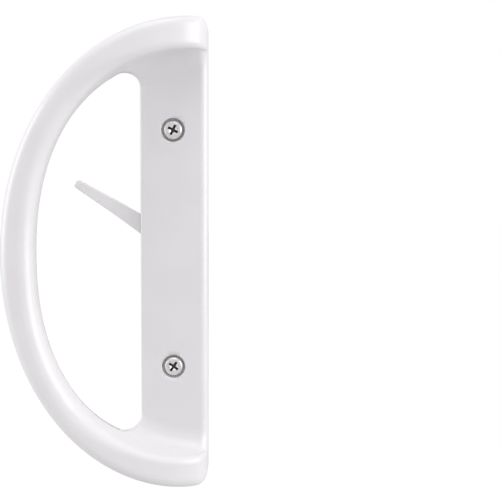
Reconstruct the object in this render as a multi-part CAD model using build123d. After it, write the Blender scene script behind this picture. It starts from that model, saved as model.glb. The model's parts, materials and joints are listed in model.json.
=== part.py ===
from build123d import *
import math
import os

# Inside handle of a sliding patio door or window: a D-shaped pull cast in one piece with its base plate,
# a latch lever that swings in a slot of the plate's left wall, the bush, washer and plate that carry it,
# the flat tailpiece that it turns, and the two screws that hold the handle to the door.
#
# Frame: Z runs up the handle, +X to the plate's side and -X to the pull, and the room is on the -Y side.
# The plate's back rim lies in the plane y = 0. The origin is halfway between the two mounting screws,
# and the middle of the casting is a little lower.
# Lengths are millimetres and angles are degrees.

# Base plate
SCREW_SPACING = 100.0
CASTING_DROP = 1.6
PLATE_RIGHT = 14.5
PLATE_LEFT = 13.8
PLATE_HEIGHT = 10.0
WALL = 3.0
FLOOR = 2.5
PLATE_EDGE_R = 1.2

# Outline of the D seen from the room: a half ellipse outside, a fuller curve inside
HALF_LENGTH = 97.9
REACH = 81.7
ARM_WIDTH = 15.9
PULL_WIDTH = 12.9
INNER_FULLNESS = 2.33
INNER_CENTRE_OFFSET = 2.5
INNER_STEPS = 8
OPENING_CORNER_R = 5.2

# Side of the D seen from above: the front rises in a quarter ellipse, the back in a smaller one
PROJECTION = 37.5
PULL_DEPTH = 14.2
CREST_FLAT = 7.8
ARM_ROOT = 5.0
BACK_FLAT = 9.8

# Rounding of the casting
OUTER_FRONT_R = 4.2
INNER_FRONT_R = 4.5
OUTER_BACK_R = 4.0
INNER_BACK_R = 4.0
FLOOR_R = 3.0
CAVITY_CORNER_R = 2.0

# Cores and ribs behind the plate
ARM_CORE_DEPTH = 13.5
RIB = 2.0
RIB_SETBACK = 2.5
CROSS_RIB_HEIGHT = 34.0
SCREW_BOSS_D = 13.0
RETAINER_BOSS_D = 6.0

# Mounting screws, 8-32 by 2 in
SCREW_D = 4.1
SCREW_NECK_D = 3.6
SCREW_LENGTH = 50.0
SCREW_HOLE_D = 4.7
SCREW_HEAD_D = 8.1
SCREW_HEAD_H = 2.4
COUNTERBORE_D = 10.0
COUNTERBORE_DEPTH = 2.3
UPPER_RECESS_TURN = 63.0
LOWER_RECESS_TURN = 55.0

# Latch lever
PIVOT_HEIGHT = 1.5
LEVER_ANGLE = 33.0
LEVER_LENGTH = 48.4
LEVER_ROOT_WIDTH = 9.0
LEVER_TIP_WIDTH = 3.4
LEVER_THICKNESS = 2.6
LEVER_BEND_START = 26.0
LEVER_BEND_R = 20.0
LEVER_BEND_ANGLE = 16.0
LEVER_EDGE = 0.6
LEVER_TIP_R = 1.2
HUB_D = 15.0
HUB_THICKNESS = 3.3
SPIGOT_D = 9.0
SPIGOT_LENGTH = 5.4
SLOT_END_GAP = 0.5
SLOT_FRONT_GAP = 0.6

# Bush on the casting's pivot stub
STUB_D = 6.0
STUB_LENGTH = 2.5
BUSH_WALL = 1.0
BUSH_FLANGE_D = 12.0
BUSH_FLANGE = 0.6
STUB_CLEARANCE = 0.04
RUNNING_CLEARANCE = 0.05
END_CLEARANCE = 0.05

# Friction washer and the plate that keeps the lever in
WASHER_D = 13.4
WASHER_THICKNESS = 0.4
WASHER_SPACE = 0.85
WASHER_CLEARANCE = 0.2
RETAINER_THICKNESS = 0.8
RETAINER_WIDTH = 17.0
RETAINER_SPAN = 27.0
RETAINER_END_WIDTH = 9.0
RETAINER_WAIST_R = 4.0
RETAINER_SCREW_D = 2.9
RETAINER_SCREW_LENGTH = 4.6
RETAINER_HEAD_D = 5.0
RETAINER_HEAD_H = 1.5
RETAINER_HOLE_CLEARANCE = 0.15
THREAD_CLEARANCE = 0.03

# Cross recesses of the screws, as shares of the head's diameter
RECESS_SPAN = 0.56
RECESS_WIDTH = 0.14
RECESS_DEPTH = 0.2
RECESS_TAPER = 8.0

# Tailpiece and its cross pin
TAIL_WIDTH = 6.3
TAIL_THICKNESS = 1.6
TAIL_LENGTH = 36.0
TAIL_WEB = 0.8
TAIL_POINT = 3.0
TAIL_POINT_WIDTH = 4.0
TAIL_NOTCH = 0.5
TAIL_NOTCH_PITCH = 6.0
TAIL_NOTCHES = 3
TAIL_FIRST_NOTCH = 14.0
TAIL_CLEARANCE = 0.05
PIN_D = 1.6
PIN_CLEARANCE = 0.03
PIN_INSET = 0.2
PIN_SETBACK = 1.6

# Runs a profile past the part, and keeps two walls from lying in one another
PAST = 60.0
HAIR = 0.02

# Places that follow from the sizes above
left_x = -PLATE_LEFT
right_x = PLATE_RIGHT
floor_y = -PLATE_HEIGHT
cavity_y = floor_y + FLOOR
front_y = -PROJECTION
back_y = front_y + PULL_DEPTH
pull_x = right_x - REACH
inner_centre_x = right_x + INNER_CENTRE_OFFSET
inner_reach = inner_centre_x - pull_x - PULL_WIDTH
front_centre_x = pull_x + CREST_FLAT
front_rise_length = right_x - front_centre_x
inner_half_length = HALF_LENGTH - ARM_WIDTH
back_centre_x = pull_x + BACK_FLAT
back_rise_length = (left_x - back_centre_x) / math.sqrt(1 - (ARM_ROOT / back_y) ** 2)
screw_z = SCREW_SPACING / 2
head_seat_y = floor_y + COUNTERBORE_DEPTH

lever_turn = math.radians(LEVER_ANGLE)
along = Vector(-math.cos(lever_turn), 0, math.sin(lever_turn))
across = Vector(-math.sin(lever_turn), 0, -math.cos(lever_turn))
pivot = Vector(0, 0, PIVOT_HEIGHT)
bush_d = STUB_D + 2 * (STUB_CLEARANCE + BUSH_WALL)
stub_end_y = cavity_y + STUB_LENGTH
hub_front_y = cavity_y + BUSH_FLANGE + END_CLEARANCE
hub_back_y = hub_front_y + HUB_THICKNESS
hub_bore_y = stub_end_y + 2 * END_CLEARANCE
spigot_end_y = hub_back_y + SPIGOT_LENGTH
tail_y = hub_bore_y + TAIL_WEB
pin_y = spigot_end_y - PIN_SETBACK
retainer_y = hub_back_y + WASHER_SPACE
retainer_back_y = retainer_y + RETAINER_THICKNESS
retainer_screw_z = RETAINER_SPAN / 2
width_at_wall = LEVER_ROOT_WIDTH - (LEVER_ROOT_WIDTH - LEVER_TIP_WIDTH) * (
    PLATE_LEFT / math.cos(lever_turn) / LEVER_LENGTH
)
slot_half = PLATE_LEFT * math.tan(lever_turn) + width_at_wall / 2 / math.cos(lever_turn) + SLOT_END_GAP


def seen_from_room(face, y_from, y_to):
    """A prism along Y of a face drawn in X and Z, from y_from towards the room to y_to."""
    return extrude(Plane.XZ.offset(-y_from) * face, y_from - y_to)


def seen_from_above(face):
    """A prism along Z of a face drawn in X and Y, longer than the handle."""
    return extrude(face, 2 * HALF_LENGTH, both=True)


def rod(x, z, diameter, y_back, y_front):
    """A cylinder along Y, from its back towards the room."""
    return seen_from_room(Pos(x, z) * Circle(diameter / 2), y_back, y_front)


def joined(*points):
    """Straight lines through the points, one after another."""
    return [Line(a, b) for a, b in zip(points, points[1:])]


def outer_outline(inset=0):
    """The outside of the D, or a curve set in from it, closed by a straight edge far to the right."""
    curve = EllipticalCenterArc((right_x, 0), REACH - inset, HALF_LENGTH - inset, 90, arc_size=180)
    top, bottom, far_x = curve @ 0, curve @ 1, right_x + PAST
    return make_face([curve, *joined(bottom, (far_x, bottom.Y), (far_x, top.Y), top)])


def inner_outline(inset=0):
    """The inside of the D, open over the plate, or a smaller one whose curve is set in from it."""
    points = []
    for step in range(INNER_STEPS + 1):
        turn = math.pi / 2 * step / INNER_STEPS
        reach = max(math.cos(turn), 0) ** (2 / INNER_FULLNESS) * (inner_reach - inset)
        points.append((inner_centre_x - reach, math.sin(turn) ** (2 / INNER_FULLNESS) * (inner_half_length - inset)))
    points[-1] = (inner_centre_x, inner_half_length - inset)
    upper = Spline(points, tangents=[(0, 1), (1, 0)])
    lower = Spline([(x, -z) for x, z in points], tangents=[(0, -1), (1, 0)])
    top, bottom, far_x = upper @ 1, lower @ 1, right_x + PAST
    return make_face([upper, lower, *joined(top, (far_x, top.Y), (far_x, bottom.Y), bottom)])


def right_of(x):
    """A large rectangle to the right of x, to cut an outline with."""
    return Pos(x + 2 * PAST, 0) * Rectangle(4 * PAST, 6 * HALF_LENGTH)


def opening_outline(inset=0):
    """The finger opening: the inside of the D left of the plate, with two sharp corners at the plate."""
    return inner_outline(inset) - right_of(left_x)


def beside_plate_edge():
    """What the rounding of the plate's left edge takes off, from one arm's foot to the other's."""
    sharp = Pos(left_x, floor_y) * Rectangle(2 * PLATE_EDGE_R, 2 * PLATE_EDGE_R)
    sharp -= Pos(left_x + PLATE_EDGE_R, floor_y + PLATE_EDGE_R) * Circle(PLATE_EDGE_R)
    return seen_from_above(sharp) & seen_from_room(inner_outline(FLOOR_R), 0, front_y)


def corner_webs():
    """The small webs that round the two corners of the opening at the plate."""
    corners = opening_outline().vertices().filter_by(lambda v: abs(v.X - left_x) < 0.01)
    plan = opening_outline() - fillet(corners, OPENING_CORNER_R)
    return seen_from_room(plan, 0, floor_y + PLATE_EDGE_R) & seen_from_above(before_back())


def front_profile():
    """The handle from above: flat over the pull, then a quarter ellipse down to the plate's right side."""
    rise = EllipticalCenterArc((front_centre_x, floor_y), front_rise_length, floor_y - front_y, 270, arc_size=90)
    crest, foot = rise @ 0, rise @ 1
    far_x = pull_x - PAST
    return make_face([rise, *joined(foot, (right_x, 0), (far_x, 0), (far_x, crest.Y), crest)])


def before_back():
    """Everything on the room's side of the arms' back surface, seen from above."""
    rise = EllipticalCenterArc((back_centre_x, 0), back_rise_length, -back_y, 270, arc_size=90)
    crest, foot = rise @ 0, rise @ 1
    far_x, far_y, limit_x = pull_x - PAST, front_y - PAST, right_x + PAST
    return make_face([rise, *joined(foot, (limit_x, 0), (limit_x, far_y), (far_x, far_y), (far_x, crest.Y), crest)])


def on_outer_wall(edge):
    point = edge @ 0.5
    return abs(((point.X - right_x) / REACH) ** 2 + (point.Z / HALF_LENGTH) ** 2 - 1) < 0.005


def on_inner_wall(edge):
    point = edge @ 0.5
    reach = abs((inner_centre_x - point.X) / inner_reach) ** INNER_FULLNESS
    return abs(reach + abs(point.Z / inner_half_length) ** INNER_FULLNESS - 1) < 0.03


def between(edge, y_low, y_high):
    return y_low < (edge @ 0.5).Y < y_high


def dished_front():
    """The D with its front surface and its dished floor, rounded along both front edges."""
    body = seen_from_room(outer_outline(), 0, front_y - PAST) & seen_from_above(front_profile())
    dish = seen_from_room(inner_outline(), floor_y, front_y - PAST)
    foot = dish.edges().filter_by(lambda e: between(e, floor_y - 0.01, floor_y + 0.01) and on_inner_wall(e))
    body -= fillet(foot, FLOOR_R)

    outer = body.edges().filter_by(lambda e: on_outer_wall(e) and between(e, front_y - 1, -1))
    body = fillet(outer, OUTER_FRONT_R)
    # The floor's right edge runs on smoothly along the arms and round the pull, so one edge names the whole loop.
    floor_edge = body.edges().filter_by(Axis.Z).filter_by(
        lambda e: abs((e @ 0.5).X - right_x) < 0.01 and abs((e @ 0.5).Y - floor_y) < 0.01 and abs((e @ 0.5).Z) < 1
    )
    return fillet(floor_edge, INNER_FRONT_R)


def rounded_back():
    """What the casting may fill behind its front: the D with its round back, and the straight-sided plate.

    It stands off the casting's walls by a hair, so that it shapes the back and leaves the walls alone.
    """
    outline = outer_outline(-HAIR)
    ring = seen_from_room(outline - opening_outline(HAIR), 0, front_y - PAST) & seen_from_above(before_back())
    outer = ring.edges().filter_by(lambda e: on_outer_wall(e) and between(e, back_y - 1, -1))
    ring = fillet(outer, OUTER_BACK_R)
    inner = ring.edges().filter_by(lambda e: on_inner_wall(e) and between(e, back_y - 1, -1))
    ring = fillet(inner, INNER_BACK_R)
    return ring + seen_from_room(outline & right_of(left_x), 0, front_y - PAST)


def cavity():
    """The hollow behind the plate, with a deeper core in the root of each arm."""
    plan = (outer_outline(WALL) & right_of(left_x + WALL)) - right_of(right_x - WALL)
    between_arms = Rectangle(6 * REACH, 2 * (inner_half_length + WALL))
    hollow = seen_from_room(plan, 0, cavity_y)
    cores = seen_from_room(plan - between_arms, 0, -ARM_CORE_DEPTH)
    hollow = fillet(hollow.edges().filter_by(Axis.Y), CAVITY_CORNER_R)
    return hollow + fillet(cores.edges().filter_by(Axis.Y), CAVITY_CORNER_R)


def ribs():
    """Stiffening ribs in the hollow: two along its middle and two across."""
    inside = PLATE_LEFT + PLATE_RIGHT - WALL
    middle = (right_x + left_x) / 2
    lengthwise = HALF_LENGTH - WALL / 2 - screw_z
    made = []
    for side in (1, -1):
        made.append(Pos(0, side * (screw_z + lengthwise / 2)) * Rectangle(RIB, lengthwise))
        made.append(Pos(middle, side * CROSS_RIB_HEIGHT) * Rectangle(inside, RIB))
    return [seen_from_room(plan, -RIB_SETBACK, cavity_y - 0.5) for plan in made]


def handle_casting():
    """The pull and its base plate, one casting with an open back."""
    body = dished_front() - seen_from_room(opening_outline(), 1, front_y - PAST)
    body = (body - beside_plate_edge()) & rounded_back()
    body += corner_webs()
    body -= cavity()
    for rib in ribs():
        body += rib
    body = Pos(0, 0, -CASTING_DROP) * body
    for side in (1, -1):
        body += rod(0, side * screw_z, SCREW_BOSS_D, 0, cavity_y - 0.5)
        body += rod(0, PIVOT_HEIGHT + side * retainer_screw_z, RETAINER_BOSS_D, retainer_y, cavity_y - 0.5)
    body += rod(0, PIVOT_HEIGHT, STUB_D, stub_end_y, cavity_y - 0.5)

    for side in (1, -1):
        body -= rod(0, side * screw_z, SCREW_HOLE_D, 1, floor_y - 1)
        body -= rod(0, side * screw_z, COUNTERBORE_D, head_seat_y, floor_y - 1)
        thread_d = RETAINER_SCREW_D + 2 * THREAD_CLEARANCE
        thread_end_y = retainer_back_y - RETAINER_SCREW_LENGTH - THREAD_CLEARANCE
        body -= rod(0, PIVOT_HEIGHT + side * retainer_screw_z, thread_d, retainer_y + 1, thread_end_y)
    return body - lever_slot()


def lever_slot():
    """The slot in the plate's left wall, open at the rim, that the lever swings in."""
    slot = Rectangle(2 * WALL, 2 * slot_half)
    return seen_from_room(Pos(left_x, PIVOT_HEIGHT) * slot, 1, hub_front_y - SLOT_FRONT_GAP)


def latch_lever():
    """The lever, its hub and the spigot that holds the tailpiece."""
    front, back = -hub_front_y, -hub_front_y - LEVER_THICKNESS
    run = LEVER_LENGTH - LEVER_BEND_START - LEVER_BEND_R * math.sin(math.radians(LEVER_BEND_ANGLE))
    run /= math.cos(math.radians(LEVER_BEND_ANGLE))

    def bent(height, radius):
        start = Line((0, height), (LEVER_BEND_START, height))
        bend = JernArc(start @ 1, start % 1, radius, LEVER_BEND_ANGLE)
        end = Line(bend @ 1, bend @ 1 + (bend % 1) * run)
        return [start, bend, end]

    front_line = bent(front, LEVER_BEND_R - LEVER_THICKNESS / 2)
    back_line = bent(back, LEVER_BEND_R + LEVER_THICKNESS / 2)
    side = make_face([
        *front_line, *back_line,
        Line(front_line[0] @ 0, back_line[0] @ 0), Line(front_line[2] @ 1, back_line[2] @ 1),
    ])
    side_plane = Plane(pivot, x_dir=along, z_dir=along.cross(Vector(0, -1, 0)))
    arm = extrude(side_plane * side, LEVER_ROOT_WIDTH, both=True)

    root, tip = LEVER_ROOT_WIDTH / 2, LEVER_TIP_WIDTH / 2
    taper = Polyline((0, root), (LEVER_LENGTH, tip), (LEVER_LENGTH, -tip), (0, -root), close=True)
    taper = make_face(taper)
    taper = fillet(taper.vertices().sort_by(Axis.X)[-2:], LEVER_TIP_R)
    lever_plane = Plane(pivot, x_dir=along, z_dir=(0, -1, 0))
    arm &= extrude(lever_plane * taper, 2 * PROJECTION, both=True)
    outer_edges = arm.edges().filter_by(lambda e: ((e @ 0.5) - pivot).dot(along) > HUB_D)
    arm = fillet(outer_edges, LEVER_EDGE)

    lever = arm + rod(0, PIVOT_HEIGHT, HUB_D, hub_back_y, hub_front_y)
    lever += rod(0, PIVOT_HEIGHT, SPIGOT_D, spigot_end_y, hub_back_y - 0.5)
    lever -= rod(0, PIVOT_HEIGHT, bush_d + 2 * RUNNING_CLEARANCE, hub_bore_y, hub_front_y - 1)
    seat = Rectangle(TAIL_WIDTH + 2 * TAIL_CLEARANCE, TAIL_THICKNESS + 2 * TAIL_CLEARANCE)
    seat = Plane(pivot, x_dir=across, z_dir=(0, -1, 0)).offset(-spigot_end_y - 1) * seat
    lever -= extrude(seat, spigot_end_y + 1 - tail_y)
    return lever - cross_pin(PIN_D + 2 * PIN_CLEARANCE, SPIGOT_D)


def cross_pin(diameter, length):
    """A pin along the lever through the spigot and the tailpiece."""
    return extrude(Plane(pivot + Vector(0, pin_y, 0), z_dir=along) * Circle(diameter / 2), length / 2, both=True)


def tailpiece():
    """The flat blade, with a pointed end and notches where it is snapped to length."""
    blade_plane = Plane(pivot, x_dir=across, z_dir=along)
    end_y = tail_y + TAIL_CLEARANCE
    far_y = end_y + TAIL_LENGTH
    half, point = TAIL_WIDTH / 2, TAIL_POINT_WIDTH / 2
    blade = Polyline(
        (-half, -end_y), (half, -end_y), (half, TAIL_POINT - far_y), (point, -far_y),
        (-point, -far_y), (-half, TAIL_POINT - far_y), close=True,
    )
    blade = make_face(blade)
    for count in range(TAIL_NOTCHES):
        notch_y = -end_y - TAIL_FIRST_NOTCH - count * TAIL_NOTCH_PITCH
        for side in (half, -half):
            blade -= Pos(side, notch_y) * Rectangle(2 * TAIL_NOTCH, 2 * TAIL_NOTCH, rotation=45)
    blade = extrude(blade_plane * blade, TAIL_THICKNESS / 2, both=True)
    return blade - cross_pin(PIN_D + 2 * PIN_CLEARANCE, SPIGOT_D)


def lever_bushing():
    """Flanged bush between the casting's stub and the lever's hub."""
    bush = rod(0, PIVOT_HEIGHT, bush_d, stub_end_y, cavity_y)
    bush += rod(0, PIVOT_HEIGHT, BUSH_FLANGE_D, cavity_y + BUSH_FLANGE, cavity_y)
    return bush - rod(0, PIVOT_HEIGHT, STUB_D + 2 * STUB_CLEARANCE, 1, floor_y)


def friction_washer():
    """Ring between the hub and the retainer plate."""
    washer = rod(0, PIVOT_HEIGHT, WASHER_D, retainer_y, retainer_y - WASHER_THICKNESS)
    return washer - rod(0, PIVOT_HEIGHT, SPIGOT_D + 2 * WASHER_CLEARANCE, 1, floor_y)


def retainer_plate():
    """Stamped plate that keeps the lever on its stub and guides the spigot."""
    plan = Circle(RETAINER_WIDTH / 2) + SlotCenterToCenter(RETAINER_SPAN, RETAINER_END_WIDTH, rotation=90)
    waist = plan.vertices().filter_by(
        lambda v: abs(abs(v.X) - RETAINER_END_WIDTH / 2) < 0.01 and abs(v.Y) < RETAINER_WIDTH / 2
    )
    plan = fillet(waist, RETAINER_WAIST_R)
    plan -= Circle(SPIGOT_D / 2 + RUNNING_CLEARANCE)
    for side in (1, -1):
        plan -= Pos(0, side * retainer_screw_z) * Circle(RETAINER_SCREW_D / 2 + RETAINER_HOLE_CLEARANCE)
    return seen_from_room(Pos(0, PIVOT_HEIGHT) * plan, retainer_back_y, retainer_y)


def cross_recess(head_d, turn):
    """The cross recess of a screw head, its mouth at z = 0 and its depth along -Z."""
    span, width = RECESS_SPAN * head_d, RECESS_WIDTH * head_d
    cross = Rectangle(span, width) + Rectangle(width, span)
    return Rot(0, 0, turn) * extrude(cross, -RECESS_DEPTH * head_d, taper=RECESS_TAPER)


def pan_screw(shank_d, length, head_d, head_h, turn):
    """A screw with its head's underside at z = 0 and its shank along -Z."""
    head = Pos(0, 0, head_h / 2) * Cylinder(head_d / 2, head_h)
    head = fillet(head.edges().sort_by(Axis.Z)[-1], 0.6 * head_h)
    shank = Pos(0, 0, -length / 2) * Cylinder(shank_d / 2, length)
    shank = chamfer(shank.edges().sort_by(Axis.Z)[0], 0.2 * shank_d)
    return head + shank - Pos(0, 0, head_h) * cross_recess(head_d, turn)


def facing_room(solid, y, z):
    """Places a solid made along Z so that its +Z end faces the room."""
    return Plane((0, y, z), x_dir=(1, 0, 0), z_dir=(0, -1, 0)).location * solid


def facing_door(solid, y, z):
    """Places a solid made along Z so that its +Z end faces the door."""
    return Plane((0, y, z), x_dir=(1, 0, 0), z_dir=(0, 1, 0)).location * solid


def mounting_screw(side, turn):
    """The screw's plain neck is thinner than its rolled thread and ends at the plate's rim."""
    screw = pan_screw(SCREW_D, SCREW_LENGTH, SCREW_HEAD_D, SCREW_HEAD_H, turn)
    around_neck = Cylinder(SCREW_D, -head_seat_y) - Cylinder(SCREW_NECK_D / 2, -head_seat_y)
    screw -= Pos(0, 0, head_seat_y / 2) * around_neck
    return facing_room(screw, head_seat_y, side * screw_z)


def retainer_screw(side):
    screw = pan_screw(RETAINER_SCREW_D, RETAINER_SCREW_LENGTH, RETAINER_HEAD_D, RETAINER_HEAD_H, 0)
    return facing_door(screw, retainer_back_y, PIVOT_HEIGHT + side * retainer_screw_z)


pieces = {
    "handle_casting": handle_casting(),
    "latch_lever": latch_lever(),
    "lever_bushing": lever_bushing(),
    "friction_washer": friction_washer(),
    "retainer_plate": retainer_plate(),
    "retainer_screw_upper": retainer_screw(1),
    "retainer_screw_lower": retainer_screw(-1),
    "tailpiece": tailpiece(),
    "tailpiece_pin": cross_pin(PIN_D, SPIGOT_D - 2 * PIN_INSET),
    "mounting_screw_upper": mounting_screw(1, UPPER_RECESS_TURN),
    "mounting_screw_lower": mounting_screw(-1, LOWER_RECESS_TURN),
}

os.makedirs("parts", exist_ok=True)
for name, piece in pieces.items():
    export_step(piece, f"parts/{name}.step")
    print(name, round(piece.volume, 1), "mm3")
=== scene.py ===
# %% [markdown]
# # Inside handle of a sliding window
#
# The object is a D-shaped pull cast in one piece with its base plate. A latch lever swings in a slot of the
# plate, and two screws hold the handle to the door. The solids come from CAD, and most of them keep their
# shapes. This lesson gives them their finishes, makes the casting again with softer forms, cuts the threads
# that CAD leaves plain, and lights the handle as in a small studio.

import json
import math
from collections import namedtuple
from functools import partial

import bmesh
import bpy
import numpy as np
from mathutils import Matrix, Vector


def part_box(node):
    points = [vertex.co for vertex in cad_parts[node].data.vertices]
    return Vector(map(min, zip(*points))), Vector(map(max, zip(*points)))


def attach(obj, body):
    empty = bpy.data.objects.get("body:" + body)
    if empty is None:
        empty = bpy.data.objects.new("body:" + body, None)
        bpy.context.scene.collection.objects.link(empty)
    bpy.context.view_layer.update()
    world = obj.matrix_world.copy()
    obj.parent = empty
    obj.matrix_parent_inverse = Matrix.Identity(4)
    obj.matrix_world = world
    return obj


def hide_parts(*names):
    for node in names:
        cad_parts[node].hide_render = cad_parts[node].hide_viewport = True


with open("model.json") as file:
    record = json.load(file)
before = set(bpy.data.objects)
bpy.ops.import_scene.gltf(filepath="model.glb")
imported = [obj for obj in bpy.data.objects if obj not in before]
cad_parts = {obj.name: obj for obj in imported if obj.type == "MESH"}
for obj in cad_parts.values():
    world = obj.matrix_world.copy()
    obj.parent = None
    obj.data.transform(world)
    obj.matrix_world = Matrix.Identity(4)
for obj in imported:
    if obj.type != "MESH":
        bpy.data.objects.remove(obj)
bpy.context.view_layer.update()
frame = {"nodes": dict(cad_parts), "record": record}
nodes = frame["nodes"]
MM = 0.001
print("nodes:", ", ".join(sorted(nodes)))

# %% [markdown]
# ## The camera
#
# The photograph looks straight at the handle from a little above, with the handle in the left part of the
# picture. A camera 405 mm from the middle of the picture that looks down by four degrees gives the same
# perspective: the pull comes 37 mm towards it and so looks larger than the plate. The camera is level to a
# fifth of a degree.

# %% Camera
LOOK_DOWN = math.radians(4.205)
ROLL = math.radians(0.18)
DISTANCE = 0.4052
FRAME_CENTRE = Vector((0.03237, -0.0100, -0.00021))
PIXELS = 500  # the picture's width
FOCAL_PIXELS = 961.5  # the focal length in such pixels
SENSOR = 36.0  # mm
NEAREST = 0.01
FARTHEST = 20.0

camera_data = bpy.data.cameras.new("studio_camera")
camera_data.sensor_width = SENSOR
camera_data.lens = FOCAL_PIXELS / PIXELS * SENSOR
camera_data.clip_start = NEAREST
camera_data.clip_end = FARTHEST
camera = bpy.data.objects.new("studio_camera", camera_data)
bpy.context.scene.collection.objects.link(camera)
away = Vector((0.0, -math.cos(LOOK_DOWN), math.sin(LOOK_DOWN)))
camera.location = FRAME_CENTRE + DISTANCE * away
tilt = Matrix.Rotation(math.radians(90) - LOOK_DOWN, 3, "X") @ Matrix.Rotation(ROLL, 3, "Z")
camera.rotation_euler = tilt.to_euler()
bpy.context.scene.camera = camera
bpy.context.scene.view_settings.view_transform = "Standard"
print("lens", round(camera_data.lens, 1), "mm")


# %% [markdown]
# ## Helpers for materials
#
# Every finish here is procedural. A pattern reads Object coordinates, which are the place on the part in
# metres, so a grain of half a millimetre is a noise scale of about two thousand. A noise rarely leaves the
# range from 0.3 to 0.7, so that range is spread out before it drives a colour or a roughness.

# %% Material helpers
NOISE_LOW = 0.3
NOISE_HIGH = 0.7
# The sockets of a Mix node that mixes colours have the same names as others, so they go by number.
MIX_FACTOR = 0
MIX_FIRST = 6
MIX_SECOND = 7
MIX_RESULT = 2


def new_material(name):
    """An empty node material with its output and a Principled shader."""
    material = bpy.data.materials.new(name)
    material.use_nodes = True
    tree = material.node_tree
    tree.nodes.clear()
    output = tree.nodes.new("ShaderNodeOutputMaterial")
    shader = tree.nodes.new("ShaderNodeBsdfPrincipled")
    tree.links.new(shader.outputs["BSDF"], output.inputs["Surface"])
    return material, tree, shader


def noise(tree, scale, detail=2.0, stretch=(1.0, 1.0, 1.0)):
    """A noise on Object coordinates, stretched along the axes."""
    place = tree.nodes.new("ShaderNodeTexCoord")
    mapping = tree.nodes.new("ShaderNodeMapping")
    mapping.inputs["Scale"].default_value = stretch
    texture = tree.nodes.new("ShaderNodeTexNoise")
    texture.inputs["Scale"].default_value = scale
    texture.inputs["Detail"].default_value = detail
    tree.links.new(place.outputs["Object"], mapping.inputs["Vector"])
    tree.links.new(mapping.outputs["Vector"], texture.inputs["Vector"])
    return texture.outputs["Fac"]


def spread(tree, value, low=0.0, high=1.0):
    """A noise value, moved from its usual range to the range from low to high."""
    span = tree.nodes.new("ShaderNodeMapRange")
    span.interpolation_type = "SMOOTHSTEP"
    span.inputs["From Min"].default_value = NOISE_LOW
    span.inputs["From Max"].default_value = NOISE_HIGH
    span.inputs["To Min"].default_value = low
    span.inputs["To Max"].default_value = high
    tree.links.new(value, span.inputs["Value"])
    return span.outputs["Result"]


def bump(tree, shader, height, strength, distance):
    """A bump of that height pattern on the shader's normal."""
    node = tree.nodes.new("ShaderNodeBump")
    node.inputs["Strength"].default_value = strength
    node.inputs["Distance"].default_value = distance
    tree.links.new(height, node.inputs["Height"])
    tree.links.new(node.outputs["Normal"], shader.inputs["Normal"])


def mixed(tree, value, first, second):
    """A colour that goes from the first to the second with the value. The first may be a socket."""
    mix = tree.nodes.new("ShaderNodeMix")
    mix.data_type = "RGBA"
    if isinstance(first, tuple):
        mix.inputs[MIX_FIRST].default_value = (*first, 1.0)
    else:
        tree.links.new(first, mix.inputs[MIX_FIRST])
    mix.inputs[MIX_SECOND].default_value = (*second, 1.0)
    tree.links.new(value, mix.inputs[MIX_FACTOR])
    return mix.outputs[MIX_RESULT]


def math_node(tree, operation, first, second=None):
    """The result of a Math node. Each operand is a number or another node's socket."""
    node = tree.nodes.new("ShaderNodeMath")
    node.operation = operation
    for socket, value in zip(node.inputs, (first, second)):
        if isinstance(value, (int, float)):
            socket.default_value = value
        elif value is not None:
            tree.links.new(value, socket)
    return node.outputs[0]


# %% [markdown]
# ## White paint
#
# The casting and the lever have a gloss white coat. Up close such a coat isn't flat: it has the faint orange
# peel of sprayed paint, about a millimetre from hump to hump, and its shade varies by a percent or two.

# %% White paint
def white_paint():
    """Gloss white, under a thin clear coat."""
    material, tree, shader = new_material("white_paint")
    shade = spread(tree, noise(tree, scale=60.0, detail=0.0))
    colour = mixed(tree, shade, (0.81, 0.79, 0.81), (0.825, 0.805, 0.825))
    tree.links.new(colour, shader.inputs["Base Color"])
    shader.inputs["Roughness"].default_value = 0.3
    shader.inputs["IOR"].default_value = 1.5
    shader.inputs["Coat Weight"].default_value = 0.35
    shader.inputs["Coat Roughness"].default_value = 0.12
    bump(tree, shader, noise(tree, scale=900.0, detail=0.0), strength=0.1, distance=0.02 * MM)
    return material


# %% [markdown]
# ## Steel and plastic
#
# Sheet and wire are drawn and then plated, which leaves fine lines and a dull shine that is smoother here and
# rougher there. The bush is matte plastic with a faint cloud. The mounting screws are brighter than the rest,
# and the cross recesses of their heads get painted shade, a near-black colour. That painted shade is a mask
# by
# place: a point is in a recess when it is near a screw's axis and lies between two depths behind the head's
# top.

# %% Steel and plastic
SMOOTHER = 0.06
ROUGHER = 0.08


def plated_steel(name, dark, light, roughness, stretch=(1, 1, 1)):
    """Plated sheet and wire: fine drawing lines across a dull shine."""
    material, tree, shader = new_material(name)
    lines = noise(tree, scale=900.0, detail=3.0, stretch=stretch)
    tree.links.new(mixed(tree, spread(tree, lines), dark, light), shader.inputs["Base Color"])
    shine = spread(tree, lines, roughness - SMOOTHER, roughness + ROUGHER)
    tree.links.new(shine, shader.inputs["Roughness"])
    shader.inputs["Metallic"].default_value = 1.0
    bump(tree, shader, lines, strength=0.15, distance=0.02 * MM)
    return material


def bearing_plastic():
    """Matte plastic in its natural pale colour."""
    material, tree, shader = new_material("bearing_plastic")
    cloud = spread(tree, noise(tree, scale=500.0))
    tree.links.new(mixed(tree, cloud, (0.78, 0.78, 0.74), (0.84, 0.84, 0.81)), shader.inputs["Base Color"])
    tree.links.new(spread(tree, noise(tree, scale=1500.0), 0.45, 0.55), shader.inputs["Roughness"])
    bump(tree, shader, noise(tree, scale=2500.0), strength=0.1, distance=0.03 * MM)
    return material


# %% Screw steel, with painted shade in the recesses
HALF_SPACING = 50.0  # mm, up and down from the origin to the mounting screws
RECESS_RADIUS = 2.6  # mm
RECESS_START = 0.25  # mm behind the top of the head
RECESS_END = 2.0  # mm behind it
# painted shade: the near-black colour that darkens the cross recesses
RECESS_PAINTED_SHADE = (0.07, 0.07, 0.075)


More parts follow.
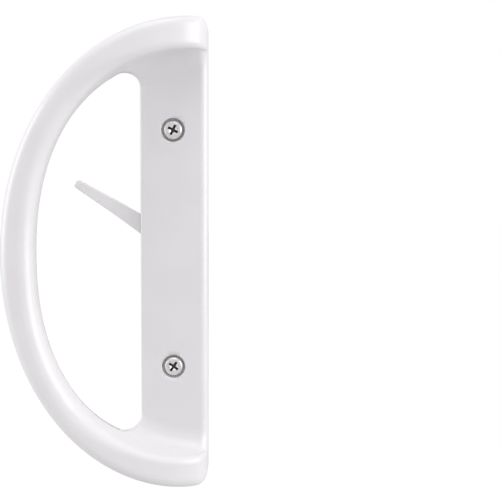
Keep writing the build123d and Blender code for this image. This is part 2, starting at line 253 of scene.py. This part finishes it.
def screw_steel(head):
    """Bright plated steel, with painted shade in the cross recesses of the heads, whose tops lie at depth
    head.
    """
    material = plated_steel("screw_steel", (0.8, 0.79, 0.78), (0.9, 0.89, 0.88), roughness=0.3)
    tree = material.node_tree
    shader = next(node for node in tree.nodes if node.type == "BSDF_PRINCIPLED")
    place = tree.nodes.new("ShaderNodeTexCoord")
    split = tree.nodes.new("ShaderNodeSeparateXYZ")
    tree.links.new(place.outputs["Object"], split.inputs["Vector"])
    calc = partial(math_node, tree)
    up = calc("SUBTRACT", calc("ABSOLUTE", split.outputs["Z"]), HALF_SPACING * MM)
    squares = calc("ADD", calc("POWER", split.outputs["X"], 2.0), calc("POWER", up, 2.0))
    near_axis = calc("LESS_THAN", calc("SQRT", squares), RECESS_RADIUS * MM)
    behind_top = calc("GREATER_THAN", split.outputs["Y"], head + RECESS_START * MM)
    before_end = calc("LESS_THAN", split.outputs["Y"], head + RECESS_END * MM)
    # Painted shade: the mask of the cross recesses, which the near-black colour fills.
    painted_recess_shade = calc("MULTIPLY", calc("MULTIPLY", behind_top, before_end), near_axis)
    bright = shader.inputs["Base Color"].links[0].from_socket
    tree.links.new(mixed(tree, painted_recess_shade, bright, RECESS_PAINTED_SHADE), shader.inputs["Base Color"])
    return material


# %% Give every CAD node its finish
screw_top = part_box("mounting_screw_upper")[0][1]
zinc_dark, zinc_light = (0.52, 0.54, 0.56), (0.64, 0.66, 0.68)
plain_dark, plain_light = (0.4, 0.4, 0.41), (0.5, 0.5, 0.51)
finishes = {
    "white_paint": white_paint(),
    "screw_steel": screw_steel(screw_top),
    "plated_steel": plated_steel("plated_steel", zinc_dark, zinc_light, roughness=0.36, stretch=(1, 0.08, 1)),
    "spring_steel": plated_steel("spring_steel", plain_dark, plain_light, roughness=0.28),
    "bearing_plastic": bearing_plastic(),
}
slot_of = {row["node"]: row["material_slot"] for row in frame["record"]["subparts"]}
for name, node in nodes.items():
    node.data.materials.clear()
    node.data.materials.append(finishes[slot_of[name]])
    print(name, "gets", slot_of[name])


# %% [markdown]
# ## The casting
#
# The pull and its base plate are one casting. Seen from the front it is a ring: an outer curve a little
# fuller than an ellipse, with a straight right side, and a D-shaped opening. The arms stand high over the
# plate's floor and sink into it through a wide scoop, and the opening's two corners are rounded through the
# whole thickness. Boxes with bevels can't flow like that. The shape follows a rule, though: the height of the
# front over the door depends only on where a point is and on how far it lies from three curves. So the mesh
# is a set of sheets on grids that follow those curves, and the heights come from the rule. The CAD model has
# a plainer casting, and this piece stands for it.
#
# The casting is the same above and below its middle, so the rule is written for the upper half, in
# millimetres from that middle: x to the right, z up, and the height over the door.

# %% The curves of the casting
Curve = namedtuple("Curve", "centre reach half fullness")

RIGHT = 14.5  # the straight right side
LEFT = -13.8  # the plate's left edge, which is the opening's right side
INNER = Curve(centre=17.0, reach=71.0, half=84.2, fullness=2.26)
OUTER = Curve(centre=RIGHT, reach=81.3, half=97.1, fullness=2.06)
SIDE_CORNER = 4.0  # radius of the outline's corners at the right side
OPENING_CORNER = 5.2  # radius of the opening's corners
CORNER_X = LEFT - OPENING_CORNER
DROP = -1.6  # height of the casting's middle over the middle between the screws
PAST_LEFT = -0.3  # the turn where a line ends, a little past the far left
PAST_MIDDLE = -20.0  # the height where a straight side ends, past the middle
ON_LINE = 0.01  # a point this close to a line lies on it


def curve_z(curve, x):
    """Height of a curve over x. A fullness of 2 makes it an ellipse."""
    flat = (np.abs(curve.centre - x) / curve.reach) ** curve.fullness
    return curve.half * (1 - flat) ** (1 / curve.fullness)


def curve_at(curve, turn):
    """Points of a curve: turn 0 is at the far left, a quarter turn is at the top."""
    power = 2 / curve.fullness
    x = curve.centre - curve.reach * np.cos(turn) ** power
    return np.stack([x, curve.half * np.sign(turn) * np.abs(np.sin(turn)) ** power], -1)


def turn_over(curve, x):
    """The turn of a curve's point over x."""
    return math.acos(((curve.centre - x) / curve.reach) ** (curve.fullness / 2))


def outer_z(x, inset=0.0):
    """Height of the outer curve, with the rounded corner at the right side."""
    corner = SIDE_CORNER - inset
    over = np.clip(x - (RIGHT - SIDE_CORNER), 0, corner)
    return curve_z(OUTER, x) - inset - corner + np.sqrt(corner ** 2 - over ** 2)


def away_from(line, x, z):
    """Distance from every point to a line that is given as many close points."""
    flat = np.stack([np.ravel(x), np.ravel(z)], 1)
    least = np.full(len(flat), np.inf)
    for start, end in zip(line[:-1], line[1:]):
        step = end - start
        along = np.clip(((flat - start) @ step) / (step @ step), 0, 1)
        least = np.minimum(least, np.hypot(*(flat - start - along[:, None] * step).T))
    return np.where(least < ON_LINE, 0, least).reshape(np.shape(x))


beyond = np.linspace(INNER.centre + 9, INNER.centre + 0.5, 8)
inner_line = np.concatenate([
    np.stack([beyond, curve_z(INNER, beyond)], 1),
    curve_at(INNER, np.linspace(math.pi / 2, PAST_LEFT, 220))])
print("inner curve through", len(inner_line), "points")


# %% [markdown]
# The opening's corner is a circle that touches the plate's left edge and the inner curve. The first fixes how
# far out its centre is. The height is found by halving: a centre that is further than a radius from the inner
# curve can still go up.

# %% The opening's corner and the outlines
def corner_height(low=55.0, high=77.0, halvings=40):
    """Height of the corner's centre."""
    for _ in range(halvings):
        middle = (low + high) / 2
        if away_from(inner_line, np.array([CORNER_X]), np.array([middle]))[0] > OPENING_CORNER:
            low = middle
        else:
            high = middle
    return middle


def corner_at(turn):
    """Points of the opening's rounded corner: turn 0 is on the plate's left edge."""
    return np.stack([CORNER_X + OPENING_CORNER * np.cos(turn), corner_z + OPENING_CORNER * np.sin(turn)], -1)


corner_z = corner_height()
to_centre = np.hypot(inner_line[:, 0] - CORNER_X, inner_line[:, 1] - corner_z)
touching = inner_line[np.argmin(to_centre)]
corner_turn = math.acos((touching[0] - CORNER_X) / to_centre.min())
first_turn = turn_over(INNER, corner_at(corner_turn)[0])
opening_line = np.concatenate([
    [[LEFT, PAST_MIDDLE]],
    corner_at(np.linspace(0, corner_turn, 40)),
    curve_at(INNER, np.linspace(first_turn, PAST_LEFT, 180))])
side_x = np.linspace(RIGHT - SIDE_CORNER, RIGHT, 30)[::-1]
outer_line = np.concatenate([
    [[RIGHT, PAST_MIDDLE]],
    np.stack([side_x, outer_z(side_x)], 1),
    curve_at(OUTER, np.linspace(math.pi / 2 - 0.05, PAST_LEFT, 220))])
print("opening corner", round(corner_z, 2), "mm up, turns", round(math.degrees(corner_turn)), "degrees")

# %% [markdown]
# The front falls from the pull's crest in a quarter ellipse and still stands five millimetres over the floor
# at the right side. The roundings are quarter ellipses too: a wide one on the arm's inner edge, a wider
# hollow one at its foot, and small ones along the outside and the opening. The back is flat behind the pull
# and curves down to the door.

# %% Heights over the door
FLOOR = 10.0  # of the plate
CREST = 37.5  # of the pull
CREST_END = -59.4  # x where the front starts to fall
FALL = 73.9  # the run of that fall
ARM_END = 15.0  # height where the fall ends
BROW = 6.1  # rounding of the inner edge, along the pull
ROOT_BROW = 2.6  # and along the plate
BROW_CHANGE = 25.0  # the run from one to the other
BROW_SHARE = 0.4  # of the arm's rise over the floor
SCOOP = 9.0  # hollow rounding at the foot of the arm
SCOOP_SHARE = 0.6  # of the arm's rise over the floor
OUTER_EDGE = 4.2  # rounding of the outside, along the arms
SIDE_EDGE = 3.1  # and along the plate
PLATE_EDGE = 1.2  # rounding of the plate's left edge
BACK = 23.3  # the pull's back
BACK_END = -57.4  # x where the back starts to fall
BACK_FALL = 44.64  # the run down to the door
BACK_EDGE = 4.0  # rounding of the back's edges, along the pull
BACK_EDGE_CHANGE = 8.0  # the run over which it shrinks towards the plate
BACK_EDGE_LEAST = 0.15  # and the share of it that is left there


def fall(radius, inside):
    """How far a rounding of that radius has fallen, for points that lie inside by so much."""
    left = np.clip(radius - inside, 0, radius)
    return radius - np.sqrt(np.maximum(radius ** 2 - left ** 2, 0))


def front_height(x, z, on_arm):
    """Height of the front, on the arm and pull or on the plate and in the opening's corner."""
    crest = ARM_END + (CREST - ARM_END) * np.sqrt(1 - (np.clip(x - CREST_END, 0, FALL) / FALL) ** 2)
    over = crest - FLOOR
    to_curve = away_from(inner_line, x, z)
    if on_arm:
        brow = ROOT_BROW + (BROW - ROOT_BROW) * np.clip((LEFT - x) / BROW_CHANGE, 0, 1)
        height = crest - np.minimum(1, BROW_SHARE * over / brow) * fall(brow, to_curve)
    else:
        height = FLOOR + np.minimum(1, SCOOP_SHARE * over / SCOOP) * fall(SCOOP, to_curve)
    high_share = np.clip((height - FLOOR) / (ARM_END - FLOOR), 0, 1)
    edge = SIDE_EDGE + (OUTER_EDGE - SIDE_EDGE) * high_share
    height = height - fall(edge, away_from(outer_line, x, z))
    if not on_arm:
        edge = PLATE_EDGE + (BROW - PLATE_EDGE) * np.clip((height - FLOOR) / over, 0, 1)
        height = height - fall(edge, away_from(opening_line, x, z))
    return height


def back_height(x, z):
    """Height of the back of the pull and the arms."""
    curve = BACK * np.sqrt(np.clip(1 - (np.clip(x - BACK_END, 0, None) / BACK_FALL) ** 2, 0, 1))
    radius = BACK_EDGE * np.clip((LEFT - x) / BACK_EDGE_CHANGE, BACK_EDGE_LEAST, 1)
    edge = np.minimum(away_from(outer_line, x, z), away_from(opening_line, x, z))
    return curve + fall(radius, edge)


# %% Sheets and walls
points, faces = [], []


def sheet(x, z, height):
    """A grid of faces through a two-way table of points."""
    start, (rows, columns) = len(points), np.shape(x)
    points.extend(zip(np.ravel(x), -np.ravel(height), np.ravel(z)))
    for i in range(rows - 1):
        for j in range(columns - 1):
            a = start + i * columns + j
            faces.append((a, a + 1, a + columns + 1, a + columns))


def wall(x, z, *levels, parts=3):
    """An upright strip along a line of points, from the first level through the others."""
    for upper, lower in zip(levels[:-1], levels[1:]):
        down = np.linspace(0, 1, parts + 1)[:, None]
        height = np.asarray(upper) * (1 - down) + np.asarray(lower) * down
        sheet(np.broadcast_to(x, height.shape), np.broadcast_to(z, height.shape), height)


# %% [markdown]
# The grid of the arm is a strip of spokes from the inner curve to the outer one, closer together over the
# plate's two sides, where the edges are rounded. The rows along the strip lie at set distances from both
# curves, so every rounding gets rows enough, and they squeeze together where a spoke is too short for all.

# %% The arm's grid
from_right = np.array([0, .04, .16, .36, .65, 1.0, 1.45, 2.0, 2.6, 3.1, 3.6, 4.2, 5.2])
from_left = np.array([0, .04, .15, .33, .6, .9, 1.2, 1.9, 2.8])
from_inner = np.array([0, .05, .2, .45, .8, 1.25, 1.8, 2.5, 3.3, 4.3, 5.2, 6.1])
from_outer = np.array([4.2, 3.3, 2.5, 1.8, 1.2, .75, .4, .17, .04, 0])
ROWS_ROOM = 0.9  # share of a spoke that those rows may fill

columns_x = np.concatenate([
    RIGHT - from_right, np.linspace(RIGHT - 6.4, LEFT + 4, 14), LEFT + from_left[::-1]])
web_x, web_foot = corner_at(np.linspace(0, corner_turn, 16)).T
inner_turns = np.linspace(first_turn, 0, 110)
outer_turns = inner_turns / first_turn * turn_over(OUTER, web_x[-1])
stem = np.concatenate([columns_x, web_x[1:]])
at_left = len(columns_x) - 1  # the spoke over the plate's left edge
at_touch = len(stem) - 1  # the spoke where the opening's corner meets the inner curve

inner_ends = np.concatenate([np.stack([stem, curve_z(INNER, stem)], 1), curve_at(INNER, inner_turns[1:])])
outer_ends = np.concatenate([np.stack([stem, outer_z(stem)], 1), curve_at(OUTER, outer_turns[1:])])
inner_ends[at_touch] = (web_x[-1], web_foot[-1])
length = np.hypot(*(outer_ends - inner_ends).T)[:, None]
tight = np.minimum(1, ROWS_ROOM * length / (from_inner[-1] + from_outer[0])) / length
middle_row = 0.5 + (from_inner[-1] - from_outer[0]) / 2 * tight
across = np.concatenate([from_inner * tight, middle_row, 1 - from_outer * tight], 1)
arm = inner_ends[:, None] + across[:, :, None] * (outer_ends - inner_ends)[:, None]
arm_x, arm_z = arm[:, :, 0], arm[:, :, 1]
arm_front, arm_back = front_height(arm_x, arm_z, True), back_height(arm_x, arm_z)
print("arm:", arm_x.shape[0], "spokes of", arm_x.shape[1], "points")

# %% [markdown]
# The plate's grid shares its columns with the arm's spokes. A small web fills the opening's corner: it hangs
# from the inner curve, and its foot is the corner's circle. Both use the same steps down from the curve, so
# they meet point for point along the plate's left edge.

# %% The grids of the plate and of the web in the opening's corner
web_steps = np.array([0, .01, .04, .1, .18, .28, .39, .51, .63, .75, .86, .94, 1])
below_web = np.array([.8, 1.7, 2.6, 3.8, 5.2])

web_depth = (curve_z(INNER, LEFT) - corner_z) * web_steps
plate_depth = np.concatenate([web_depth, web_depth[-1] + below_web])
upper = curve_z(INNER, columns_x)[:, None] - plate_depth
plate_z = np.concatenate([upper, upper[:, -1:] * np.linspace(1, 0, 26)[1:]], 1)
plate_x = np.broadcast_to(columns_x[:, None], plate_z.shape)
web_top = np.append(curve_z(INNER, web_x[:-1]), web_foot[-1])[:, None]
web_z = web_top + (web_foot[:, None] - web_top) * web_steps
web_grid_x = np.broadcast_to(web_x[:, None], web_z.shape)
plate_front, web_front = front_height(plate_x, plate_z, False), front_height(web_grid_x, web_z, False)
plate_front[0, 0] = arm_front[0, 0]
web_back = back_height(web_grid_x, web_z)
print("plate:", plate_x.shape, "points, web:", web_z.shape, "points")

# %% [markdown]
# With the grids in hand the surface is put together: the fronts, the backs, and the walls between them. The
# plate and the arms' roots go all the way down to the door, and the rest ends at the back's height.

# %% Fronts and backs
sheet(arm_x, arm_z, arm_front)
sheet(plate_x, plate_z, plate_front)
sheet(web_grid_x, web_z, web_front)
sheet(arm_x[at_left:], arm_z[at_left:], arm_back[at_left:])
sheet(web_grid_x, web_z, web_back)
sheet(arm_x[:at_left + 1], arm_z[:at_left + 1], 0 * arm_x[:at_left + 1])
sheet(plate_x, plate_z, 0 * plate_z)
print("fronts and backs:", len(faces), "faces")

# %% Walls
# From the back down to the door, over the plate's left edge.
wall(arm_x[at_left], arm_z[at_left], arm_back[at_left], 0 * arm_back[at_left], parts=1)
wall(web_grid_x[0], web_z[0], web_back[0], 0 * web_back[0], parts=1)
# Where the arm's inner face stands over the scoop.
wall(columns_x, curve_z(INNER, columns_x), arm_front[:at_left + 1, 0], plate_front[:, 0])
wall(web_x, web_top[:, 0], arm_front[at_left:at_touch + 1, 0], web_front[:, 0])
# The opening's side: the plate's left edge, the corner, and round the pull.
below = slice(len(web_steps) - 1, None)
edge_back = np.full(plate_z[-1, below].shape, web_back[0, -1])
wall(plate_x[-1, below], plate_z[-1, below], plate_front[-1, below], edge_back)
wall(plate_x[-1, below], plate_z[-1, below], edge_back, 0 * edge_back, parts=1)
wall(web_x, web_foot, web_front[:, -1], web_back[:, -1])
pull_back, pull_front = arm_back[at_touch:, 0], arm_front[at_touch:, 0]
seam = (web_front[-1, -1] - pull_back[0]) / (pull_front[0] - pull_back[0])
between = pull_back + seam * (pull_front - pull_back)
wall(arm_x[at_touch:, 0], arm_z[at_touch:, 0], pull_front, between, pull_back)
# The outside: the right side, the arm's end, and round the outer curve.
ledge = arm_back[at_left, -1]
root = slice(0, at_left + 1)
for rim_x, rim_z, rim in (
        (plate_x[0], plate_z[0], plate_front[0]),
        (arm_x[0], arm_z[0], arm_front[0]),
        (arm_x[root, -1], arm_z[root, -1], arm_front[root, -1])):
    wall(rim_x, rim_z, rim, np.full(rim.shape, ledge))
    wall(rim_x, rim_z, np.full(rim.shape, ledge), 0 * rim, parts=1)
wall(arm_x[at_left:, -1], arm_z[at_left:, -1], arm_front[at_left:, -1], arm_back[at_left:, -1])
print("half of the casting:", len(faces), "faces")

# %% [markdown]
# The lower half is the upper one mirrored, with its faces turned round. Where sheets and walls meet they have
# the same points, so merging the doubles closes the surface, and counting the edges without two faces shows
# that nothing is left open.

# %% Both halves, closed
DOUBLE = 1e-6  # in metres: points closer than this become one


def mesh_object(name, mesh):
    """An object for a mesh, in the scene."""
    thing = bpy.data.objects.new(name, mesh)
    bpy.context.scene.collection.objects.link(thing)
    return thing


def clean_mesh(name, rows, sides):
    """A mesh from points in metres and faces, with its doubles merged and its normals outward."""
    work = bmesh.new()
    corners = [work.verts.new(row) for row in rows]
    for side in sides:
        work.faces.new([corners[i] for i in side])
    bmesh.ops.remove_doubles(work, verts=work.verts, dist=DOUBLE)
    bmesh.ops.dissolve_degenerate(work, dist=DOUBLE / 2, edges=work.edges)
    bmesh.ops.recalc_face_normals(work, faces=work.faces)
    loose = sum(len(edge.link_faces) != 2 for edge in work.edges)
    mesh = bpy.data.meshes.new(name)
    work.to_mesh(mesh)
    work.free()
    print(name, len(mesh.polygons), "faces,", loose, "open edges")
    return mesh


both = [(x * MM, y * MM, (z * sign + DROP) * MM) for sign in (1, -1) for x, y, z in points]
mirrored = [tuple(len(points) + i for i in reversed(face)) for face in faces]
casting = mesh_object("casting", clean_mesh("casting", both, faces + mirrored))

# %% [markdown]
# ## The hollow behind
#
# The casting is hollow behind, with ribs and bosses, and all of that is right in the CAD model. A block that
# fills the hollow, less the CAD casting, is just the empty space in there: the cores, the screw holes and the
# gaps between the ribs. Cutting that block from the new casting gives it the same hollow. In the arms' roots
# the hollow is deeper, so the block gets a deeper part at each end.

# %% Blocks and booleans
def prism(name, outline, low_y, high_y):
    """A closed block between two depths, from its outline in x and z."""
    n = len(outline)
    rows = [(x * MM, y * MM, z * MM) for y in (low_y, high_y) for x, z in outline]
    sides = [tuple(range(n)), tuple(range(2 * n - 1, n - 1, -1))]
    sides += [(i, (i + 1) % n, n + (i + 1) % n, n + i) for i in range(n)]
    return mesh_object(name, clean_mesh(name, rows, sides))


def evaluated_mesh(thing):
    """A mesh with the object's modifiers applied."""
    return bpy.data.meshes.new_from_object(thing.evaluated_get(bpy.context.evaluated_depsgraph_get()))


def combine(target, tool, operation):
    """Applies one boolean for good and removes its tool."""
    cut = target.modifiers.new("cut", "BOOLEAN")
    cut.operation, cut.object, cut.solver = operation, tool, "MANIFOLD"
    result = evaluated_mesh(target)
    target.modifiers.clear()
    target.data = result
    bpy.data.objects.remove(tool)
    print(target.name, "now has", len(result.polygons), "faces")


def merged_copy(node, name):
    """A closed copy of a CAD node, whose own mesh is loose triangles."""
    work = bmesh.new()
    work.from_mesh(nodes[node].data)
    bmesh.ops.remove_doubles(work, verts=work.verts, dist=DOUBLE)
    mesh = bpy.data.meshes.new(name)
    work.to_mesh(mesh)
    work.free()
    return mesh_object(name, mesh)


# %% The hollow
HOLLOW_WALL = 1.5  # from the outline to the block
HOLLOW_DEPTHS = (-8.9, 1.0)  # the floor behind the plate, and past the back
ROOT_WALL = 2.6
ROOT_FOOT = 83.6  # the height where the deeper part starts
ROOT_DEPTHS = (-15.0, 0.5)


def turned_over(outline):
    """An outline mirrored about the casting's middle."""
    return [(a, 2 * DROP - b) for a, b in outline]


def plan(inset, foot=None):
    """The outline behind the plate, or only what lies over the height foot, smaller by the inset."""
    to_corner = np.linspace(LEFT + inset, RIGHT - SIDE_CORNER, 24)
    turn = np.linspace(0.1, math.pi / 2, 12)
    x = np.concatenate([to_corner, RIGHT - inset - (SIDE_CORNER - inset) * (1 - np.sin(turn))])
    top = list(zip(x, outer_z(x, inset) + DROP))
    if foot is None:
        return top + turned_over(reversed(top))
    return top + [(x[-1], foot + DROP), (x[0], foot + DROP)]


hollow = prism("hollow", plan(HOLLOW_WALL), *HOLLOW_DEPTHS)
upper_root = plan(ROOT_WALL, ROOT_FOOT)
for outline in (upper_root, turned_over(upper_root)):
    combine(hollow, prism("root", outline, *ROOT_DEPTHS), "UNION")
combine(hollow, merged_copy("handle_casting", "cad_casting"), "DIFFERENCE")
combine(casting, hollow, "DIFFERENCE")

# %% [markdown]
# The counterbores of the two screws and the lever's slot go through to the outside, so they have cutters of
# their own.

# %% The counterbores and the lever's slot
COUNTERBORE = 5.0  # radius
COUNTERBORE_DEPTHS = (-7.7, -13.0)
COUNTERBORE_SIDES = 64
PIVOT_Z = 1.5
SLOT_HALF = 13.69  # how far the slot goes up and down from the lever's pivot
SLOT_LEFT, SLOT_RIGHT = -16.8, -10.8
SLOT_DEPTHS = (-7.45, 1.0)

circle = np.linspace(0, 2 * math.pi, COUNTERBORE_SIDES + 1)[:-1]
for z in (HALF_SPACING, -HALF_SPACING):
    bore = [(COUNTERBORE * math.cos(a), z + COUNTERBORE * math.sin(a)) for a in circle]
    combine(casting, prism("counterbore", bore, *COUNTERBORE_DEPTHS), "DIFFERENCE")
slot_foot, slot_top = PIVOT_Z - SLOT_HALF, PIVOT_Z + SLOT_HALF
slot = [(SLOT_LEFT, slot_foot), (SLOT_RIGHT, slot_foot), (SLOT_RIGHT, slot_top), (SLOT_LEFT, slot_top)]
combine(casting, prism("lever_slot", slot, *SLOT_DEPTHS), "DIFFERENCE")

# %% The casting takes its place
CASTING_SHARP = 32  # degrees: an edge that bends more stays sharp


def shade_smooth(mesh, sharp):
    """Smooth shading, except over edges that bend by more than the angle sharp."""
    mesh.polygons.foreach_set("use_smooth", [True] * len(mesh.polygons))
    mesh.set_sharp_from_angle(angle=math.radians(sharp))


shade_smooth(casting.data, CASTING_SHARP)
casting.data.materials.clear()
casting.data.materials.append(finishes["white_paint"])
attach(casting, "handle")
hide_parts("handle_casting")
print("casting:", len(casting.data.polygons), "faces in place of", len(nodes["handle_casting"].data.polygons))


# %% [markdown]
# ## Threads of the mounting screws
#
# A thread is a repeat along a screw line, so Geometry Nodes make it: a cylinder with many rings, whose points
# move in and out in a triangle wave of height over pitch less the angle round the axis. The head and the
# plain neck come from the CAD screw, cut where the thread starts. A machine screw of this size has 32 turns
# to the inch.

# %% The thread's node tree
INCH = 25.4
TURNS_PER_INCH = 32
PITCH = INCH / TURNS_PER_INCH * MM
THREAD_SIDES = 24
RINGS_PER_TURN = 6.0
THREAD_DEPTH = 0.6  # of the pitch


def thread_tree(steel):
    """Inputs Diameter, Length and Pitch; the thread stands on the origin and points up +Z."""
    tree = bpy.data.node_groups.new("machine_thread", "GeometryNodeTree")
    tree.interface.new_socket("Geometry", in_out="OUTPUT", socket_type="NodeSocketGeometry")
    for name in ("Diameter", "Length", "Pitch"):
        tree.interface.new_socket(name, in_out="INPUT", socket_type="NodeSocketFloat")
    inputs = tree.nodes.new("NodeGroupInput")
    output = tree.nodes.new("NodeGroupOutput")
    diameter, length, pitch = (inputs.outputs[name] for name in ("Diameter", "Length", "Pitch"))
    calc = partial(math_node, tree)

    cylinder = tree.nodes.new("GeometryNodeMeshCylinder")
    cylinder.inputs["Vertices"].default_value = THREAD_SIDES
    rings = calc("CEIL", calc("DIVIDE", length, calc("DIVIDE", pitch, RINGS_PER_TURN)))
    tree.links.new(rings, cylinder.inputs["Side Segments"])
    tree.links.new(calc("DIVIDE", diameter, 2.0), cylinder.inputs["Radius"])
    tree.links.new(length, cylinder.inputs["Depth"])

    place = tree.nodes.new("GeometryNodeInputPosition")
    split = tree.nodes.new("ShaderNodeSeparateXYZ")
    tree.links.new(place.outputs[0], split.inputs[0])
    x, y, z = (split.outputs[axis] for axis in "XYZ")
    angle = calc("DIVIDE", calc("ARCTAN2", y, x), 2 * math.pi)
    wave = calc("FRACT", calc("SUBTRACT", calc("DIVIDE", z, pitch), angle))
    triangle = calc("MULTIPLY", calc("ABSOLUTE", calc("SUBTRACT", wave, 0.5)), 2.0)
    depth = calc("DIVIDE", calc("MULTIPLY", pitch, 2 * THREAD_DEPTH), diameter)
    keep = calc("SUBTRACT", 1.0, calc("MULTIPLY", triangle, depth))
    join = tree.nodes.new("ShaderNodeCombineXYZ")
    tree.links.new(calc("MULTIPLY", x, keep), join.inputs["X"])
    tree.links.new(calc("MULTIPLY", y, keep), join.inputs["Y"])
    tree.links.new(calc("ADD", z, calc("DIVIDE", length, 2.0)), join.inputs["Z"])

    move = tree.nodes.new("GeometryNodeSetPosition")
    tree.links.new(cylinder.outputs["Mesh"], move.inputs["Geometry"])
    tree.links.new(join.outputs[0], move.inputs["Position"])
    real = tree.nodes.new("GeometryNodeRealizeInstances")
    paint = tree.nodes.new("GeometryNodeSetMaterial")
    paint.inputs["Material"].default_value = steel
    for before, after in ((move, real), (real, paint), (paint, output)):
        tree.links.new(before.outputs[0], after.inputs[0])
    return tree


threads = thread_tree(finishes["screw_steel"])
print("thread of pitch", round(PITCH / MM, 3), "mm")


# %% Screws with threads
THREAD_START = 0.0  # the depth where the thread starts, at the door's face
OVERLAP = 0.1 * MM  # how far the thread reaches into the neck
CLEAR_OF_NECK = 2 * MM  # the shank is measured this far behind the thread's start
THREAD_SHARP = 25  # degrees


def thread_mesh(name, shank, length):
    """One thread of that shank radius, from the node tree."""
    blank = mesh_object(name, bpy.data.meshes.new(name))
    modifier = blank.modifiers.new("thread", "NODES")
    modifier.node_group = threads
    values = {"Diameter": 2 * shank, "Length": length, "Pitch": PITCH}
    for item in threads.interface.items_tree:
        if item.in_out == "INPUT":
            modifier[item.identifier] = values[item.name]
    mesh = evaluated_mesh(blank)
    blank.modifiers.clear()
    bpy.data.objects.remove(blank)
    return mesh


def threaded_screw(node, name):
    """The CAD screw's head and neck, and a thread from there to the screw's end."""
    (_, _, low_z), (_, end, high_z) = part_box(node)
    work = bmesh.new()
    head = merged_copy(node, name + "_head")
    work.from_mesh(head.data)
    bpy.data.objects.remove(head)
    cut = bmesh.ops.bisect_plane(work, geom=work.verts[:] + work.edges[:] + work.faces[:],
                                 plane_co=(0, THREAD_START, 0), plane_no=(0, 1, 0), clear_outer=True)
    rim = [item for item in cut["geom_cut"] if isinstance(item, bmesh.types.BMEdge)]
    bmesh.ops.holes_fill(work, edges=rim)
    measured_from = THREAD_START + CLEAR_OF_NECK
    shank = max(abs(vert.co.x) for vert in nodes[node].data.vertices if vert.co.y > measured_from)
    thread = thread_mesh(name + "_thread", shank, end - THREAD_START + OVERLAP)
    to_neck = Matrix.Translation((0, THREAD_START - OVERLAP, (low_z + high_z) / 2))
    thread.transform(to_neck @ Matrix.Rotation(-math.pi / 2, 4, "X"))
    work.from_mesh(thread)
    mesh = bpy.data.meshes.new(name)
    work.to_mesh(mesh)
    work.free()
    mesh.materials.append(finishes["screw_steel"])
    shade_smooth(mesh, THREAD_SHARP)
    screw = mesh_object(name, mesh)
    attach(screw, "handle")
    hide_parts(node)
    print(name, "shank", round(2 * shank / MM, 2), "mm,", len(mesh.polygons), "faces")


threaded_screw("mounting_screw_upper", "threaded_screw_upper")
threaded_screw("mounting_screw_lower", "threaded_screw_lower")


# %% [markdown]
# ## The studio
#
# Product photographs on white are lit from all round, a little more from above and from the sides than from
# the camera. Large lamps give the paint its long soft highlights. The floor is pale and glows for the camera,
# so it looks as white as the background and little of the handle's shadow shows on it.

# %% Floor
FLOOR_Z = -0.150
FLOOR_HALF = 3  # metres from its middle to its sides
FLOOR_GREY = 0.62
GLOW = 1.06
GLOW_SHARE = 0.9  # of what the camera sees of the floor


def floor_material():
    """Pale and matte for the light, and mostly glowing for the camera."""
    material, tree, shader = new_material("studio_floor")
    shader.inputs["Base Color"].default_value = (FLOOR_GREY, FLOOR_GREY, FLOOR_GREY, 1.0)
    shader.inputs["Roughness"].default_value = 0.8
    glow = tree.nodes.new("ShaderNodeEmission")
    glow.inputs["Strength"].default_value = GLOW
    path = tree.nodes.new("ShaderNodeLightPath")
    seen = math_node(tree, "MULTIPLY", path.outputs["Is Camera Ray"], GLOW_SHARE)
    mix = tree.nodes.new("ShaderNodeMixShader")
    output = next(node for node in tree.nodes if node.type == "OUTPUT_MATERIAL")
    tree.links.new(seen, mix.inputs[0])
    tree.links.new(shader.outputs["BSDF"], mix.inputs[1])
    tree.links.new(glow.outputs["Emission"], mix.inputs[2])
    tree.links.new(mix.outputs["Shader"], output.inputs["Surface"])
    return material


floor_mesh = bpy.data.meshes.new("studio_floor")
floor_corners = [(x * FLOOR_HALF, y * FLOOR_HALF, FLOOR_Z) for x, y in ((-1, -1), (1, -1), (1, 1), (-1, 1))]
floor_mesh.from_pydata(floor_corners, [], [(0, 1, 2, 3)])
studio_floor = mesh_object("studio_floor", floor_mesh)
floor_mesh.materials.append(floor_material())
print("floor at", FLOOR_Z, "m")

# %% World
AMBIENT = 0.72  # the light that the surroundings give
BACKDROP = 1.0  # what the camera sees of them: white

world = bpy.data.worlds.new("studio_world")
world.use_nodes = True
bpy.context.scene.world = world
tree = world.node_tree
tree.nodes.clear()
path = tree.nodes.new("ShaderNodeLightPath")
choice = tree.nodes.new("ShaderNodeMixShader")
output = tree.nodes.new("ShaderNodeOutputWorld")
tree.links.new(path.outputs["Is Camera Ray"], choice.inputs[0])
for socket, strength in zip(choice.inputs[1:], (AMBIENT, BACKDROP)):
    background = tree.nodes.new("ShaderNodeBackground")
    background.inputs["Color"].default_value = (1.0, 1.0, 1.0, 1.0)
    background.inputs["Strength"].default_value = strength
    tree.links.new(background.outputs[0], socket)
tree.links.new(choice.outputs[0], output.inputs["Surface"])
print("world lights with", AMBIENT, "and shows", BACKDROP)

# %% Lamps
LAMP_SIZE = 0.8


def softbox(name, place, power):
    """A square area lamp that looks at the middle of the handle."""
    data = bpy.data.lights.new(name, "AREA")
    data.shape = "SQUARE"
    data.size = LAMP_SIZE
    data.energy = power
    lamp = bpy.data.objects.new(name, data)
    lamp.location = place
    lamp.rotation_euler = (-Vector(place)).to_track_quat("-Z", "Y").to_euler()
    bpy.context.scene.collection.objects.link(lamp)
    print(name, "at", place, power, "W")


softbox("lamp_above", (0.0, -0.3, 1.0), power=2.7)
softbox("lamp_left", (-1.0, -0.2, 0.2), power=4.4)
softbox("lamp_right", (1.0, -0.2, 0.2), power=5.4)
